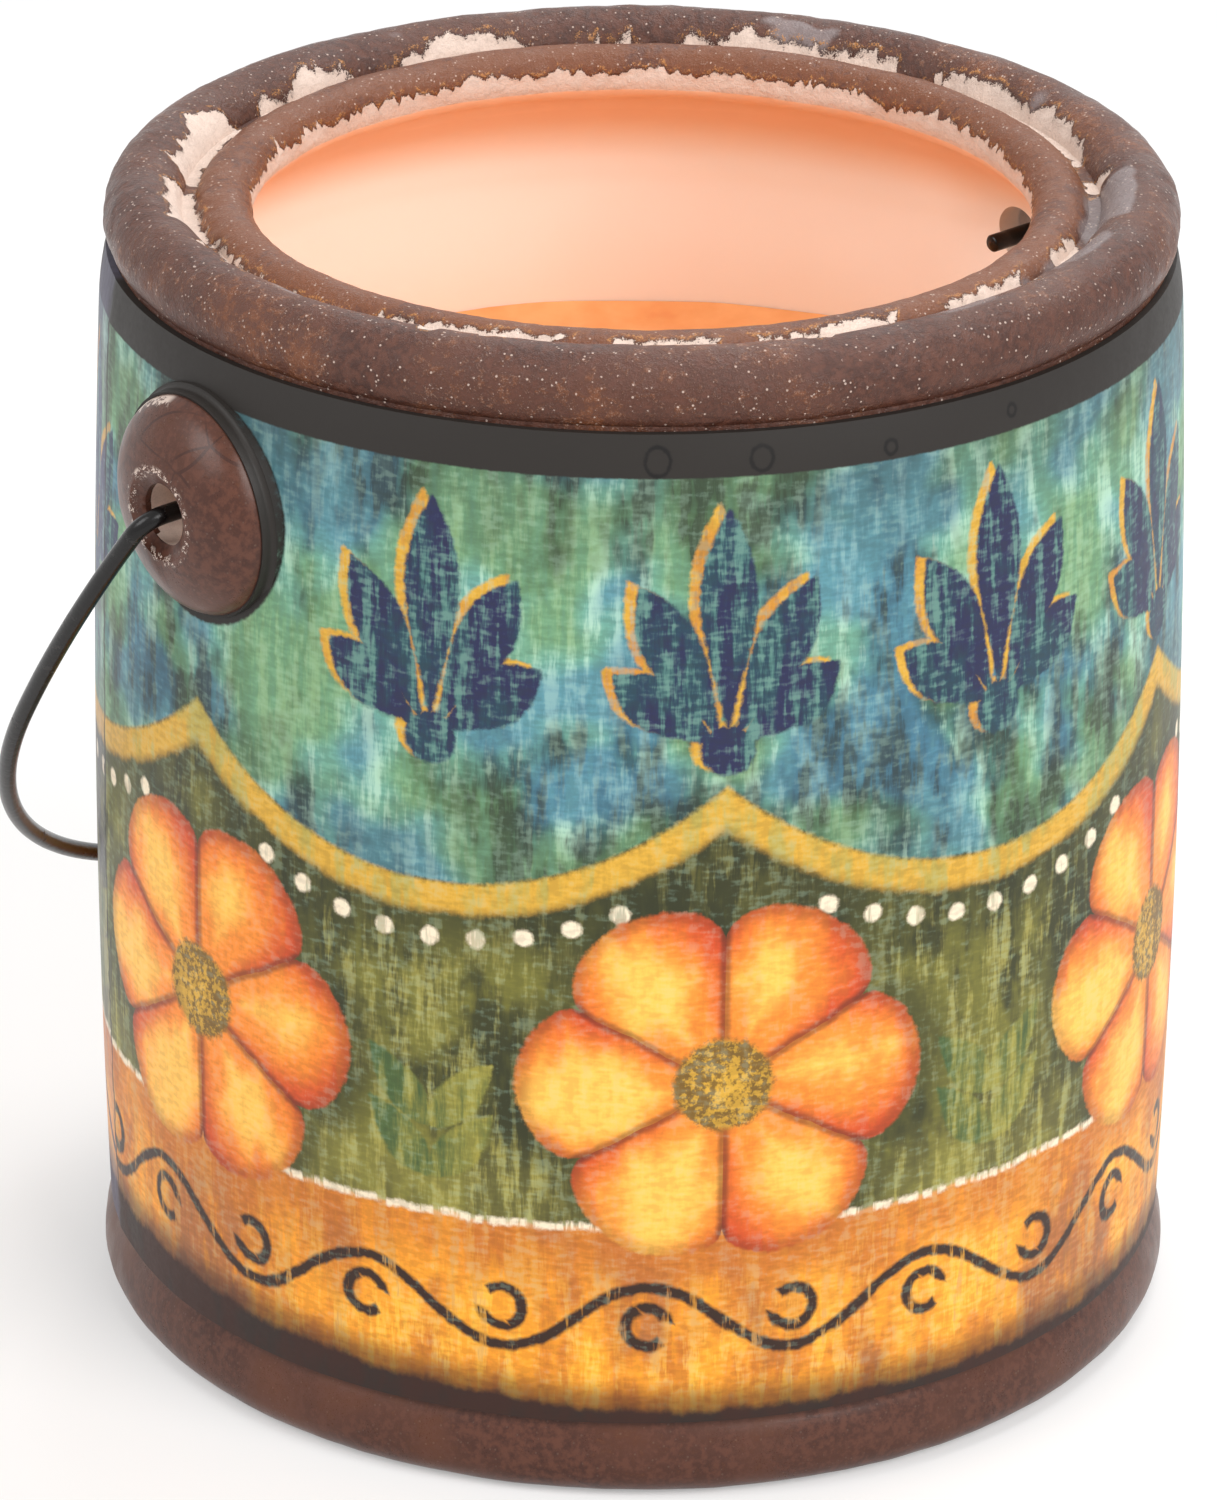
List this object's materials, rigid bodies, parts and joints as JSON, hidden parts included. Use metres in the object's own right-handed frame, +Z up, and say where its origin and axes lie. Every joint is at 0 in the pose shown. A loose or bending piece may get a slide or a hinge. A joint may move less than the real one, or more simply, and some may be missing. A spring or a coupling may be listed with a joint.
{
  "type": "multi-wick jar candle",
  "caption": "Handled crock candle: ceramic jar with a rolled rim, pierced ears and a printed wrap, wicks in wax, and a swinging wire bail.",
  "frame": {"origin": "middle of the foot, on the surface that the jar stands on", "axes": "+Z up along the jar's axis; X runs along the line through both ears, the +X ear being the higher one; the bail hangs on the +Y side"},
  "size_m": [0.1227, 0.1101, 0.1164],
  "materials": {
    "glaze": "brown glaze, satin, worn to pale bisque in the rim's groove, with a peach-coloured unglazed inside",
    "film": "satin printed shrink film, dark grey borders",
    "wax": "soft orange wax",
    "wick": "waxed braided cotton",
    "tab": "tinned",
    "wire": "black coated steel wire",
    "ink_teal": "printed ink under a satin film",
    "ink_green": "printed ink under a satin film",
    "ink_amber": "printed ink under a satin film",
    "ink_cream": "printed ink under a satin film",
    "ink_gold": "printed ink under a satin film",
    "ink_navy": "printed ink under a satin film",
    "ink_orange": "printed ink under a satin film",
    "ink_leaf": "printed ink under a satin film",
    "ink_umber": "printed ink under a satin film"
  },
  "bodies": {
    "crock": {"jar": "glaze", "wrap_film": "film", "ink_teal": "ink_teal", "ink_green": "ink_green", "ink_amber": "ink_amber", "ink_cream": "ink_cream", "ink_gold": "ink_gold", "ink_navy": "ink_navy", "ink_orange": "ink_orange", "ink_leaf": "ink_leaf", "ink_umber": "ink_umber", "wax_fill": "wax", "wick_1": "wick", "wick_2": "wick", "wick_tab_1": "tab", "wick_tab_2": "tab"},
    "bail": {"bail": "wire"}
  },
  "joints": [
    {"name": "bail_swing", "type": "hinge", "parent": "crock", "child": "bail", "pos_m": [0, 0, 0.0967], "axis": [0.9994, 0, 0.0349], "range_deg": [0, 282.7]}
  ]
}
